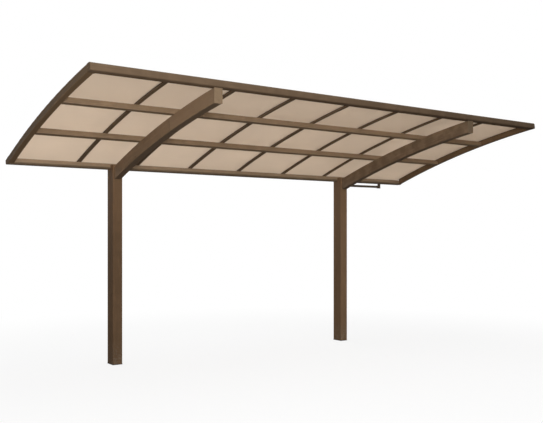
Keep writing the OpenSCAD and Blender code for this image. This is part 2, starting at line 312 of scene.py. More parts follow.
def section_corners(node, x, y, along, height):
    """Where the corners are rubbed on extrusions of one node's kind."""
    if node in PURLINS:
        spans = [roof.span(name) for name in PURLINS]
        half = (spans[0][1] - spans[0][0]) / 2 * roof.radius
        across = from_nearest(along, *((a + b) / 2 * roof.radius for a, b in spans))
        return rubbed_corners(across, half, height, *roof.levels(node))
    row = next((names for names in (POSTS, BEAMS) if node in names), RAFTERS)
    low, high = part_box(row[0])
    half = (high.x - low.x) / 2
    across = from_nearest(x, *(middle(name).x for name in row))
    if row is POSTS:
        return rubbed_corners(across, half, y, low.y, high.y)
    return rubbed_corners(across, half, height, *roof.levels(node))


def dusted(graph, base, whole, scale, look):
    """The dust on faces that look up, and the base under it."""
    dust = graph.facing_up().above(0.6, 0.95) * graph.noise(whole, scale).above(0.3, 0.8)
    return dust, graph.mix(dust * look.weather * 0.4, base, shade(look.dust, 1.0))


def paint_light_along_x(graph, base, x, colour, towards):
    """The base with a painted light tone of its colour beyond a place: (start, end, factor) along x.
    """
    start, end, factor = towards
    return graph.mix(x.above(start, end), base, shade(colour, factor))


def bronze(
    name, run, look, colour=None, corners=None, painted_shade_below=None, matt=False, under=1.0, towards=None
):
    """Satin bronze coating on an extrusion that runs along "x", "z" or the "arc".

    The corners of one node's kind may be rubbed, and painted shade darkens what is below a height.
    A matt one has weathered dull. Faces that look down are painted darker or lighter by a factor,
    as painted shade or painted light, and two places along x and a factor paint light: the coating
    is that much brighter or darker beyond the second place.
    """
    colour = colour or look.bronze
    material, graph = new_material(name)
    whole, (x, y, z) = graph.place()
    along, height = arc_place(graph, y, z)
    sides = (x, height, along) if run == "arc" else (x, y, z)
    lengthways = 0 if run == "x" else 2

    def stretched(across, length):
        """Coordinates for marks that run with the extrusion."""
        scales = [length if i == lengthways else across for i in range(3)]
        return graph.join(*(side * scale for side, scale in zip(sides, scales)))

    drawn = stretched(900.0, 1.5)
    lines = graph.noise(drawn, 1.0, detail=1.0)
    bands = graph.noise(graph.vector("MULTIPLY", drawn, (0.09, 0.09, 0.09)), 1.0, detail=2.0)
    scuffs = graph.noise(stretched(60.0, 5.0), 1.0, roughness=0.65)
    grain = graph.noise(whole, 1400.0, detail=1.0)
    mottle = graph.noise(whole, 9.0, detail=3.0)
    drift = graph.noise(whole, 0.9, detail=1.0)
    streaks = graph.noise(graph.join(x * 38.0, y * 38.0, z * 1.4), 1.0)
    up = graph.facing_up()

    base = graph.mix(drift.above(0.35, 0.65), shade(colour, 0.94), shade(colour, 1.06))
    # Painted light: the coating is painted brighter or darker along x, beyond a place.
    if towards:
        base = paint_light_along_x(graph, base, x, colour, towards)
    # Marks, how much they show, and how bright the coating is where they do
    for marks, share, factor in (
        (bands.above(0.38, 0.62), 0.38, 0.82),
        (mottle.above(0.4, 0.66), 0.45, 1.22),
        (lines.above(0.46, 0.7), 0.4, 0.66),
        (scuffs.above(0.54, 0.68), 0.34, 1.5),
    ):
        base = graph.mix(marks * share, base, shade(colour, factor))
    rain = streaks.above(0.5, 0.8) * (1 - up.above(-0.4, 0.5)) * up.above(-0.9, -0.5)
    base = graph.mix(rain * look.weather * 0.25, base, shade(look.dust, 0.35))
    dust, base = dusted(graph, base, whole, 26.0, look)
    rough = 0.46 + 0.1 * mottle + 0.06 * grain + 0.2 * dust - 0.08 * scuffs.above(0.62, 0.8)
    if corners:
        rubbed = section_corners(corners, x, y, along, height)
        rubbed = rubbed * (0.35 + 0.65 * mottle.above(0.35, 0.6))
        base = graph.mix(rubbed * look.wear, base, shade(colour, 1.75))
        rough = rough - 0.1 * rubbed
    if run == "z":
        # Painted light: the posts are painted brighter towards the top.
        base = graph.mix(z.above(1.1, 2.1) * 0.42, base, shade(colour, 1.6))
        splashed = (1 - z.above(0.04, 0.32)) * graph.noise(whole, 55.0, detail=5.0).above(0.42, 0.62)
        base = graph.mix(splashed * look.weather * 0.5, base, shade(look.dust, 0.7))
        rough = rough + 0.15 * splashed
    if corners in BEAMS:
        splice = roof.angle(SPLICE_Y, roof.levels(corners)[0]) * roof.radius
        # The left beam is lighter in front of the splice.
        lighter_front_length = (1 - along.above(splice - 0.0005, splice + 0.0005)) * (1 - x.above(1.0, 2.0))
        base = graph.mix(lighter_front_length * 0.5, base, shade(colour, 1.38))
    # Painted shade or painted light on faces that look down: a factor below 1 paints them darker,
    # above 1 lighter.
    if under != 1.0:
        base = graph.mix(0.9 - 0.9 * up.above(-0.85, -0.4), base, shade(colour, under))
    # Painted shade: the coating is painted darker below a height, for the shade under the gutter.
    if painted_shade_below:
        shade_mask = (1 - z.above(painted_shade_below - 0.008, painted_shade_below + 0.006)) * (0.8 + 0.2 * mottle.above(0.4, 0.6))
        base = graph.mix(shade_mask * 0.62, base, shade(colour, 0.25))
        rough = rough + 0.1 * shade_mask
    fine = graph.bump(grain, 0.12, 0.0002)
    normal = graph.bump(lines, 0.18, 0.0002, below=fine)
    graph.surface(
        Base_Color=base, Roughness=rough, Metallic=0.0 if matt else 0.2,
        Specular_IOR_Level=0.04 if matt else 0.13, Normal=normal,
    )
    return material


def moulding(name, colour, look, edge_of=(), towards=None):
    """Moulded plastic with a fine leather-like grain, and rims that have worn smooth and pale."""
    material, graph = new_material(name)
    whole, (x, _, z) = graph.place()
    grain = graph.node(
        "ShaderNodeTexVoronoi", {"feature": "SMOOTH_F1"}, {"Vector": whole, "Scale": 700.0}
    )
    cloud = graph.noise(whole, 14.0, detail=3.0)
    flow = graph.noise(graph.vector("MULTIPLY", whole, (90.0, 90.0, 14.0)), 1.0, detail=3.0)
    specks = graph.noise(whole, 420.0, detail=2.0)
    base = graph.mix(cloud.above(0.3, 0.7), shade(colour, 0.93), shade(colour, 1.07))
    # Painted light: the plastic is painted brighter or darker along x, beyond a place.
    if towards:
        base = paint_light_along_x(graph, base, x, colour, towards)
    base = graph.mix(flow.above(0.45, 0.75) * 0.3, base, shade(colour, 0.82))
    base = graph.mix(specks.above(0.68, 0.8) * 0.5, base, shade(colour, 1.4))
    rough = 0.5 + 0.14 * cloud + 0.08 * flow
    if edge_of:
        low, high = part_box(edge_of[0])
        across = from_nearest(x, *(middle(node).x for node in edge_of))
        wide, tall = (high.x - low.x) / 2, (high.z - low.z) / 2
        inner, outer = 0.0045, 0.0035
        rim = across.above(wide - inner, wide - outer).most(
            abs(z - middle(edge_of[0]).z).above(tall - inner, tall - outer)
        )
        base = graph.mix(rim * look.wear, base, shade(colour, 1.35))
        rough = rough - 0.12 * rim
    _, base = dusted(graph, base, whole, 60.0, look)
    normal = graph.bump(grain, 0.2, 0.0002)
    graph.surface(Base_Color=base, Roughness=rough, Specular_IOR_Level=0.08, Normal=normal)
    return material


def tinted_sheet(look):
    """Smoke-tinted polycarbonate that lets light through, with dust along its seals and low end."""
    material, graph = new_material("smoke_tinted_sheet")
    whole, (x, y, z) = graph.place()
    along, _ = arc_place(graph, y, z)
    rolled = graph.noise(graph.join(x * 3.0, along * 22.0, 0.0), 1.0, detail=3.0)
    cloud = graph.noise(whole, 2.2)
    specks = graph.noise(whole, 160.0, detail=2.0)
    runs = graph.noise(graph.join(x * 45.0, along * 1.8, 0.0), 1.0)
    base = graph.mix(cloud.above(0.3, 0.7), shade(look.sheet, 0.97), shade(look.sheet, 1.03))
    base = graph.mix(rolled.above(0.45, 0.75) * 0.25, base, shade(look.sheet, 0.93))
    base = graph.mix(specks.above(0.62, 0.75) * 0.22, base, shade(look.sheet, 0.8))
    # Painted shade: the sheets in front of the front purlin are painted darker.
    shaded_front_row = 1 - along.above(*(angle * roof.radius for angle in roof.span("front_purlin")))
    base = graph.mix(shaded_front_row * 0.8, base, shade(look.sheet, 0.93))
    beside = 1 - from_nearest(x, *(middle(name).x for name in RAFTERS)).above(0.018, 0.055)
    low_end = along.above(*(roof.angle(place) * roof.radius for place in (-0.35, 0.05)))
    settled = beside.most(low_end) * (0.3 + 0.7 * cloud.above(0.35, 0.65))
    washed = runs.above(0.5, 0.72) * (0.35 + 0.65 * low_end)
    top = graph.facing_up().above(0.5, 0.9)
    dust = top * look.weather * (0.35 * settled + 0.3 * washed + 0.25 * specks.above(0.45, 0.85))
    base = graph.mix(dust, base, shade(look.dust, 1.0))
    graph.surface(
        Base_Color=base, Roughness=0.34 + 0.06 * cloud + 0.4 * dust, IOR=1.18,
        Transmission_Weight=look.sheet_passes, Normal=graph.bump(rolled, 0.05, 0.002),
    )
    return material


def rubber(look):
    """Black-brown sealing rubber with a chalky bloom."""
    material, graph = new_material("seal_rubber")
    whole, _ = graph.place()
    cloud = graph.noise(whole, 40.0, detail=3.0)
    bloom = graph.noise(whole, 180.0).above(0.55, 0.8)
    base = graph.mix(cloud.above(0.3, 0.7), shade(look.rubber, 0.8), shade(look.rubber, 1.3))
    base = graph.mix(bloom * look.weather * 0.3, base, shade(look.dust, 0.4))
    graph.surface(
        Base_Color=base, Roughness=0.72 + 0.15 * cloud + 0.08 * bloom,
        Normal=graph.bump(graph.noise(whole, 1200.0, detail=2.0), 0.15, 0.0002),
    )
    return material


def steel(name, tone):
    """Stainless steel of screws and guards, with turned marks and a dulled skin."""
    material, graph = new_material(name)
    whole, _ = graph.place()
    cloud = graph.noise(whole, 60.0)
    scratches = graph.noise(whole, 900.0, detail=2.0)
    base = graph.mix(cloud.above(0.35, 0.7), shade(tone, 0.75), shade(tone, 1.05))
    graph.surface(
        Base_Color=base, Metallic=0.85, Roughness=0.3 + 0.2 * cloud + 0.1 * scratches,
        Normal=graph.bump(scratches, 0.15, 0.0001),
    )
    return material


# ---- making pieces ----


def add_piece(name, mesh):
    """Links a mesh that lies in place, and says what it rides on."""
    piece = bpy.data.objects.new(name, mesh)
    bpy.context.scene.collection.objects.link(piece)
    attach(piece, "root")


def new_tree(name, sizes):
    """A geometry tree that takes a carrier mesh, named sizes and a material."""
    tree = bpy.data.node_groups.new(name, "GeometryNodeTree")

    def socket(label, kind, way="INPUT"):
        return tree.interface.new_socket(label, in_out=way, socket_type=f"NodeSocket{kind}")

    socket("Carrier", "Geometry")
    for label, size in sizes.items():
        socket(label, "Int" if isinstance(size, int) else "Float").default_value = size
    socket("Material", "Material")
    socket("Result", "Geometry", way="OUTPUT")
    graph = Graph(tree)
    inputs = tree.nodes.new("NodeGroupInput")
    given = {socket.name: Value(graph, socket) for socket in inputs.outputs if socket.name}
    return graph, given


def end_tree(graph, given, geometry):
    """Makes the result real, gives it its material and ends the tree."""
    real = graph.node("GeometryNodeRealizeInstances", sockets={"Geometry": geometry})
    coated = graph.node(
        "GeometryNodeSetMaterial", sockets={"Geometry": real, "Material": given["Material"]}
    )
    graph.node("NodeGroupOutput", sockets={0: coated})
    return graph.tree


def stand_on_places(graph, given, shape):
    """Stands a shape on every point of the carrier, along its "aim", and ends the tree."""
    aim = graph.node(
        "GeometryNodeInputNamedAttribute", {"data_type": "FLOAT_VECTOR"}, {"Name": "aim"}
    )
    turn = graph.node("FunctionNodeAlignRotationToVector", {"axis": "Z"}, {"Vector": aim})
    stood = graph.node(
        "GeometryNodeInstanceOnPoints",
        sockets={"Points": given["Carrier"], "Instance": shape, "Rotation": turn},
    )
    return end_tree(graph, given, stood)


def disc(graph, diameter, thickness, sides):
    """An upright cylinder that stands on the ground of its tree."""
    made = graph.node(
        "GeometryNodeMeshCylinder",
        sockets={"Vertices": sides, "Radius": diameter * 0.5, "Depth": thickness},
    )
    return graph.moved(made, 0.0, 0.0, thickness * 0.5)


def cone(graph, bottom, top, height, low, sides):
    """A frustum that stands on a level, from one diameter to another."""
    radii = {"Radius Bottom": bottom * 0.5, "Radius Top": top * 0.5}
    made = graph.node(
        "GeometryNodeMeshCone", sockets={"Vertices": sides, **radii, "Depth": height}
    )
    return graph.moved(made, 0.0, 0.0, low)


def cross_recess(graph, solid, head, height, reach, level):
    """Cuts a cross, whose bars reach over a share of the head, round a level."""
    bars = [
        graph.moved(graph.block(head * long, head * wide, height), 0.0, 0.0, level)
        for long, wide in ((reach, RECESS_WIDTH), (RECESS_WIDTH, reach))
    ]
    return graph.cut(solid, *bars)


def pan_screw_tree():
    """Washer-faced pan head with a cross recess."""
    graph, given = new_tree(
        "pan_screw",
        {"Head Diameter": 0.009, "Head Height": 0.003, "Washer Diameter": 0.014, "Washer": 0.001},
    )
    head, height, washer = given["Head Diameter"], given["Head Height"], given["Washer"]
    waist, skirt = head * 0.86, height * 0.55
    solid = graph.union(
        cone(graph, head, waist, skirt, washer, 16),
        cone(graph, waist, head * 0.5, height * 0.45, washer + skirt, 16),
    )
    crossed = cross_recess(graph, solid, head, height, 0.6, washer + height * 1.05)
    plate = disc(graph, given["Washer Diameter"], washer, 20)
    shape = graph.node("GeometryNodeJoinGeometry", sockets={0: [plate, crossed]})
    return stand_on_places(graph, given, shape)


def flat_screw_tree():
    """Flush head with a bevelled rim and a cross recess."""
    graph, given = new_tree("flat_screw", {"Head Diameter": 0.008, "Head Height": 0.0008})
    head, height = given["Head Diameter"], given["Head Height"]
    solid = graph.union(
        cone(graph, head, head, height * 0.6, 0.0, 20),
        cone(graph, head, head * 0.86, height * 0.4, height * 0.6, 20),
    )
    shape = cross_recess(graph, solid, head, height, 0.62, height * 0.8)
    return stand_on_places(graph, given, shape)


def angle_clip_tree():
    """Bent plate: one leg lies under a rafter, the other hangs behind the purlin below it."""
    graph, given = new_tree("angle_clip", {"Width": 0.03, "Leg": 0.024, "Thickness": 0.002})
    wide, leg, thin = given["Width"], given["Leg"], given["Thickness"]
    shape = graph.union(
        graph.moved(graph.block(wide, leg, thin), 0.0, leg * 0.5, thin * -0.5),
        graph.moved(graph.block(wide, thin, leg), 0.0, thin * 0.5, leg * -0.5),
    )
    return stand_on_places(graph, given, shape)


def plug_tree():
    """Low domed plug with a thumb-nail notch, which closes a bolt's access hole."""
    graph, given = new_tree("cover_plug", {"Diameter": 0.018, "Height": 0.0025})
    width, height = given["Diameter"], given["Height"]
    rise = height * 0.4
    dome = graph.union(
        cone(graph, width, width * 0.95, rise, 0.0, 32),
        cone(graph, width * 0.8, width * 0.7, rise, rise, 32),
        cone(graph, width * 0.7, width * 0.4, height * 0.2, rise * 2, 32),
    )
    nail = graph.block(width * 0.25, width * 0.2, height)
    notch = graph.moved(nail, 0.0, width * -0.45, height * 0.65)
    return stand_on_places(graph, given, graph.cut(dome, notch))


def bead_tree():
    """A round bead along every line of the carrier."""
    graph, given = new_tree("bead", {"Radius": 0.002, "Sides": 8})
    path = graph.node("GeometryNodeMeshToCurve", sockets={"Mesh": given["Carrier"]})
    ring = graph.node(
        "GeometryNodeCurvePrimitiveCircle",
        {"mode": "RADIUS"},
        {"Resolution": given["Sides"], "Radius": given["Radius"]},
    )
    shape = graph.node(
        "GeometryNodeCurveToMesh", sockets={"Curve": path, "Profile Curve": ring, "Fill Caps": True}
    )
    return end_tree(graph, given, shape)


def grow(name, carrier, tree, sizes, material):
    """Runs a tree on a carrier mesh and keeps the result as a plain piece."""
    piece = bpy.data.objects.new(name, carrier)
    bpy.context.scene.collection.objects.link(piece)
    modifier = piece.modifiers.new(name, "NODES")
    modifier.node_group = tree
    inputs = {
        item.name: item.identifier for item in tree.interface.items_tree if item.in_out == "INPUT"
    }
    for label, size in {**sizes, "Material": material}.items():
        modifier[inputs[label]] = size
    shown = piece.evaluated_get(bpy.context.evaluated_depsgraph_get())
    plain = bpy.data.meshes.new_from_object(shown)
    bpy.data.objects.remove(piece)
    if not plain.polygons:
        raise RuntimeError(f"{name} came out empty")
    plain.name = name
    add_piece(name, plain)


def place_fittings(name, places, tree, sizes, material):
    """Puts a fitting on every (point, direction)."""
    carrier = bpy.data.meshes.new(name)
    carrier.from_pydata([point for point, _ in places], [], [])
    aim = carrier.attributes.new("aim", "FLOAT_VECTOR", "POINT")
    aim.data.foreach_set("vector", [part for _, direction in places for part in direction])
    grow(name, carrier, tree, sizes, material)


def lay_beads(name, lines, radius, sides, material):
    """Lays a bead along every line of points. A line that ends on its own first point is closed."""
    points, edges = [], []
    for line in lines:
        start, closed = len(points), line[0] is line[-1]
        points += line[:-1] if closed else line
        edges += [(i, i + 1) for i in range(start, len(points) - 1)]
        if closed:
            edges.append((len(points) - 1, start))
    carrier = bpy.data.meshes.new(name)
    carrier.from_pydata(points, edges, [])
    grow(name, carrier, bead_tree(), {"Radius": radius, "Sides": sides}, material)


def spread(start, end, pitch):
    """Evenly spaced values from start to end, about a pitch apart."""
    count = max(1, round(abs(end - start) / pitch))
    return [start + (end - start) * i / count for i in range(count + 1)]


# ---- what a user may change ----


def colour_value(name, use, default):
    return FloatVectorProperty(
        name=name, description=f"Colour of {use}", default=default,
        subtype="COLOR", size=3, min=0, max=1,
    )


def share_value(name, description, default):
    return FloatProperty(
        name=name, description=description, default=default, subtype="FACTOR", min=0, max=1
    )


def length_value(name, description, least, default, most):
    return FloatProperty(
        name=name, description=description, default=default,
        subtype="DISTANCE", unit="LENGTH", min=least, max=most,
    )


class PortLook(bpy.types.PropertyGroup):
    """Colours and sizes of the port's finishes and fittings."""

    bronze: colour_value("Bronze", "the coated aluminium", (0.232, 0.157, 0.098))
    # Painted shade and painted light: edge, front and post are darkened copies of the bronze, and
    # purlin and gutter lightened copies, for how light falls on each member.
    edge: colour_value("Roof Edge", "the frames at the roof's sides", (0.132, 0.084, 0.047))
    front: colour_value("Front Frame", "the frame along the roof's front", (0.137, 0.091, 0.056))
    purlin: colour_value("Purlin", "the purlins, a lighter tone", (0.238, 0.165, 0.103))
    gutter: colour_value("Gutter", "the gutter", (0.304, 0.216, 0.138))
    post: colour_value("Post", "the posts, a darker tone", (0.138, 0.084, 0.047))
    cap: colour_value("Beam Cap", "the plates that close the beams", (0.21, 0.146, 0.09))
    pipe: colour_value("Drain", "the drain's plastic", (0.10, 0.074, 0.052))
    sheet: colour_value("Sheet", "the tinted roof sheets", (0.71, 0.572, 0.44))
    rubber: colour_value("Rubber", "the seals", (0.018, 0.013, 0.010))
    dust: colour_value("Dust", "the dust on upper faces", (0.36, 0.32, 0.26))
    sheet_passes: share_value("Sheet Passes", "Share of the light that a sheet lets through", 0.85)
    weather: share_value("Weather", "How much dust, rain streaks and splashes show", 0.5)
    wear: share_value("Wear", "How much the corners are rubbed paler", 0.25)
    seal: length_value("Seal", "Radius of the seals beside the sheets", 0.001, 0.0015, 0.004)
    screw_head: length_value("Screw Head", "Diameter of the screw heads", 0.006, 0.009, 0.014)
    screw_pitch: length_value("Screw Pitch", "Distance between a cover's screws", 0.15, 0.3, 0.6)
    plug: length_value("Plug", "Diameter of the plugs over the beams' bolts", 0.01, 0.016, 0.03)
    foot_seal: length_value("Foot Seal", "Radius of the ring round a foot", 0.002, 0.004, 0.008)
    corner_plate: length_value("Corner Plate", "Length of the corner plates", 0.015, 0.028, 0.06)
    guard_wire: length_value("Guard Wire", "Radius of the guard's wire", 0.0005, 0.0008, 0.0015)
    guard_bars: IntProperty(
        name="Guard Bars", description="Number of bars in the leaf guard", min=6, max=24, default=12
    )
    bead_sides: IntProperty(
        name="Bead Sides", description="Sides of a seal's round section", min=6, max=16, default=8
    )
    lamp_power: FloatProperty(
        name="Lamp Power", description="Strength of the studio lamps", min=0.1, max=4, default=1.0
    )


class PortOperator:
    """What every step of the port shares."""

    bl_options = {"REGISTER", "UNDO"}

    def execute(self, context):
        self.make(context.scene.port_look)
        return {"FINISHED"}


class PORT_OT_finishes(PortOperator, bpy.types.Operator):
    """Give every part of the frame its finish"""

    bl_idname = "port.finishes"
    bl_label = "Finishes"

    def make(self, look):
        # The height below which the gutter gets painted shade.
        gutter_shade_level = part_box("gutter")[0].z + 0.027
        # Painted shade: the rafters take a darkened copy of the bronze.
        shaded_bronze = shade(look.bronze, 0.6)
        # Painted light and painted shade: lit and shaded copies of the bronze, painted undersides and
        # painted tones along x.
        plans = (
            (POSTS, bronze(
                "bronze_posts", "z", look, look.post, "left_post", matt=True, towards=(1, 2, 1.22)
            )),
            (BEAMS, bronze(
                "bronze_beams", "arc", look, corners="left_beam", under=0.68, towards=(1, 2, 0.74)
            )),
            (PURLINS, bronze(
                "bronze_purlins", "x", look, look.purlin, "rear_purlin", towards=(0.8, 2.4, 1.3)
            )),
            (["gutter"], bronze("bronze_gutter", "x", look, look.gutter, painted_shade_below=gutter_shade_level)),
            (RAFTERS, bronze("bronze_rafters", "arc", look, shaded_bronze, "rafter_1", matt=True)),
            (COVERS, bronze("bronze_covers", "arc", look, corners="cover_1")),
            (["front_frame"], bronze(
                "bronze_front_edge", "x", look, look.front, matt=True, towards=(-0.6, 3.4, 0.8)
            )),
            (SIDE_FRAMES, bronze(
                "bronze_side_edges", "arc", look, shade(look.edge, 1.1), matt=True, under=1.3,
                towards=(1, 2, 0.9),
            )),
            (BEAM_CAPS, moulding("beam_cap_plastic", look.cap, look, BEAM_CAPS, (1, 2, 0.78))),
            (FRONT_CAPS + GUTTER_CAPS, moulding("edge_cap_plastic", look.edge, look)),
            (DRAIN, moulding("drain_plastic", look.pipe, look)),
            (PANELS, tinted_sheet(look)),
        )
        for names, material in plans:
            for name in names:
                for slot in NODES[name].material_slots:
                    slot.material = material
        finished = {name for names, _ in plans for name in names}
        if finished != set(NODES):
            raise RuntimeError(f"no finish for {sorted(set(NODES) - finished)}")


class PORT_OT_seals(PortOperator, bpy.types.Operator):
    """Lay the rubber seals beside the roof sheets"""

    bl_idname = "port.seals"
    bl_label = "Seals"

    def make(self, look):
        material = rubber(look)
        top = roof.levels("panel_4")[1]
        for name, strips, height in (
            ("lower_seals", RAFTERS, -look.seal),
            ("upper_seals", COVERS, top + look.seal),
        ):
            lines = self.beside_sheets(strips, height, look.seal)
            lay_beads(name, lines, look.seal, look.bead_sides, material)

    def beside_sheets(self, strips, height, seal):
        """Lines along the strips, the side frames and the front, all at one height."""
        inner = (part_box("left_side_frame")[1].x + seal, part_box("right_side_frame")[0].x - seal)
        lines, stops = [], [inner[0]]
        for name in strips:
            start, end = roof.span(name)
            low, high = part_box(name)
            for x in (low.x - seal * 0.4, high.x + seal * 0.4):
                lines.append(roof.line(x, start, end, height))
            stops += [low.x - 2 * seal, high.x + 2 * seal]
        stops.append(inner[1])
        start, end = roof.span("left_side_frame")
        lines += [roof.line(x, start, end, height) for x in inner]
        front = roof.span(strips[0])[0] + seal / roof.radius
        for ends in zip(stops[::2], stops[1::2]):
            lines.append([roof.point(x, front, height) for x in ends])
        return lines


class PORT_OT_joints(PortOperator, bpy.types.Operator):
    """Seal the posts' feet and the beams' joints, and set the plugs and corner plates"""

    bl_idname = "port.joints"
    bl_label = "Joints"

    def make(self, look):
        self.foot_seals(look)
        self.beam_joints(look)
        self.plugs(look)
        self.corner_plates(look)

    def foot_seals(self, look):
        """A rubber ring round the foot of each post, which follows its rounded corners."""
        inset, rounding = 0.006, 0.0065
        rings = []
        for name in POSTS:
            low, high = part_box(name)
            centre, half = (low + high) / 2, (high - low) / 2
            ring = []
            for quarter, (side, back) in enumerate(((1, 1), (-1, 1), (-1, -1), (1, -1))):
                x = centre.x + side * (half.x - inset)
                y = centre.y + back * (half.y - inset)
                for k in range(5):
                    turn = math.pi / 2 * (quarter + k / 4)
                    ring.append(around(x, y, look.foot_seal, rounding, turn))
            rings.append([*ring, ring[0]])
        lay_beads("foot_seals", rings, look.foot_seal, 8, rubber(look))

    def beam_joints(self, look):
        """A thin gasket round each beam, where its two lengths meet."""
        gasket = 0.0009
        rings = []
        for name in BEAMS:
            low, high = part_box(name)
            bottom, top = roof.levels(name)
            angle = roof.angle(SPLICE_Y, bottom)
            ring = [
                roof.point(x, angle, height)
                for x, height in ((low.x, bottom), (high.x, bottom), (high.x, top), (low.x, top))
            ]
            rings.append([*ring, ring[0]])
        lay_beads("beam_joints", rings, gasket, 6, rubber(look))

    def plugs(self, look):
        """Plugs on the beams' sides near the posts, and on the posts' backs."""
        beam_bolt_rise, post_bolt_inset, post_bolt_rises = 0.02, 0.022, (0.03, 0.095)
        places = []
        bottom = roof.levels("left_beam")[0]
        for name in BEAMS:
            low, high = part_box(name)
            angle = roof.angle(BOLT_Y, bottom)
            for x, side in ((low.x, -1), (high.x, 1)):
                places.append((roof.point(x, angle, bottom + beam_bolt_rise), Vector((side, 0, 0))))
        under_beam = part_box("left_beam")[0].z
        for name in POSTS:
            low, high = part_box(name)
            for x in (low.x + post_bolt_inset, high.x - post_bolt_inset):
                for rise in post_bolt_rises:
                    places.append((Vector((x, high.y, under_beam + rise)), Vector((0, 1, 0))))
        material = moulding("plug_plastic", look.post, look)
        sizes = {"Diameter": look.plug, "Height": look.plug / 8}
        place_fittings("bolt_plugs", places, plug_tree(), sizes, material)

    def corner_plates(self, look):
        """Small gussets under the sheets in the roof's front corners."""
        leg, thick, rounding = look.corner_plate, 0.002, 0.0005
        nose = leg * 0.16
        top = roof.levels("left_side_frame")[0] + 0.006
        front = roof.span("rafter_1")[0]
        made = bmesh.new()
        for side, inner in (
            (1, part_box("left_side_frame")[1].x),
            (-1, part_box("right_side_frame")[0].x),
        ):
            outline = ((0, 0), (leg, 0), (leg, nose), (nose, leg), (0, leg))
            corners = [(inner + side * x, front + back / roof.radius) for x, back in outline]
            upper, lower = (
                [made.verts.new(roof.point(*corner, height)) for corner in corners]
                for height in (top, top - thick)
            )
            made.faces.new(upper)
            made.faces.new(lower[::-1])
            for i, k in enumerate((1, 2, 3, 4, 0)):
                made.faces.new((upper[i], lower[i], lower[k], upper[k]))
        bmesh.ops.bevel(
            made, geom=made.edges[:], offset=rounding, segments=2, profile=0.5, affect="EDGES"
        )
        bmesh.ops.recalc_face_normals(made, faces=made.faces)
        mesh = bpy.data.meshes.new("corner_plates")
        made.to_mesh(mesh)
        made.free()
        mesh.materials.append(moulding("corner_plate_coat", look.edge, look))
        add_piece("corner_plates", mesh)


class PORT_OT_screws(PortOperator, bpy.types.Operator):
    """Set the screws of the covers, end caps, pipe clips and rafter clips"""

    bl_idname = "port.screws"
    bl_label = "Screws"

    def make(self, look):
        pan, flat = pan_screw_tree(), flat_screw_tree()
        bright = steel("stainless_steel", (0.5, 0.49, 0.47))
        toned = steel("bronze_toned_steel", look.bronze)
        head = look.screw_head
        large = {"Head Diameter": head, "Head Height": head / 3, "Washer Diameter": head * 1.55}
        small = {"Head Diameter": 0.0075, "Head Height": 0.0022, "Washer Diameter": 0.01}
        slim = {"Head Diameter": 0.0075, "Head Height": 0.0008}
        place_fittings("cover_screws", self.on_covers(look), pan, large, bright)
        place_fittings("cap_screws", self.on_caps(), flat, slim, toned)
        place_fittings("pipe_clip_screws", self.on_pipe_clips(), pan, small, bright)
        corners = self.behind_purlins()
        clips = [(point, up) for point, up, _ in corners]
        coat = bronze("clip_coat", "x", look, look.edge)
        hole, thin = 0.014, 0.002
        sizes = {"Width": 0.03, "Leg": 0.024, "Thickness": thin}
        place_fittings("rafter_clips", clips, angle_clip_tree(), sizes, coat)
        screws = []
        for point, up, back in corners:
            screws.append((point + back * hole - up * thin, -up))
            screws.append((point - up * hole + back * thin, back))
        place_fittings("rafter_clip_screws", screws, pan, small, bright)

    def on_covers(self, look):
        """Screws in the centre lines of the covers."""
        groove, margin = 0.0008, 0.06
        places = []
        top = roof.levels(COVERS[0])[1] - groove
        for name in COVERS:
            start, end = roof.span(name)
            edge = margin / roof.radius
            for angle in spread(start + edge, end - edge, look.screw_pitch / roof.radius):
                places.append((roof.point(middle(name).x, angle, top), up_from(angle)))
        return places

    def on_caps(self):
        """Flush screws on the sunk faces of the end caps."""
        beam_rises, front_reaches = (-0.045, 0.045), (-0.008, 0.02)
        gutter_rise, gutter_reaches = 0.034, (0.03, 0.085)
        places = []
        for name in BEAM_CAPS:
            centre, face = middle(name), steps_along(name, 1)[1]
            for rise in beam_rises:
                places.append((Vector((centre.x, face, centre.z + rise)), Vector((0, -1, 0))))
        slope = tangent_at(roof.span("rafter_1")[0])
        for name in FRONT_CAPS + GUTTER_CAPS:
            side = -1 if middle(name).x < middle("panel_4").x else 1
            levels = steps_along(name, 0)
            face = levels[1] if side < 0 else levels[-2]
            if name in FRONT_CAPS:
                spots = [middle(name) + slope * reach for reach in front_reaches]
            else:
                _, y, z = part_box(name)[0]
                spots = [Vector((0, y + reach, z + gutter_rise)) for reach in gutter_reaches]
            for spot in spots:
                places.append((Vector((face, spot.y, spot.z)), Vector((side, 0, 0))))
        return places

    def on_pipe_clips(self):
        """Screws through the clips' ears, into the back of the post."""
        inset, ear, apart = 0.0055, 0.003, 0.1
        low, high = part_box("pipe_clips")
        heights = steps_along("pipe_clips", 2)
        gaps = [pair for pair in zip(heights, heights[1:]) if pair[1] - pair[0] > apart]
        bottoms = [heights[0], *(above for _, above in gaps)]
        tops = [*(below for below, _ in gaps), heights[-1]]
        places = []
        for bottom, top in zip(bottoms, tops):
            for x in (low.x + inset, high.x - inset):
                point = Vector((x, low.y + ear, (bottom + top) / 2))
                places.append((point, Vector((0, 1, 0))))
        return places

    def behind_purlins(self):
        """Corners between the purlins' backs and the rafters' undersides, with two directions."""
        corners = []
        for purlin in PURLINS:
            for rafter in RAFTERS:
                angle = roof.span(purlin)[1]
                point = roof.point(middle(rafter).x, angle, 0.0)
                corners.append((point, up_from(angle), tangent_at(angle)))
        return corners


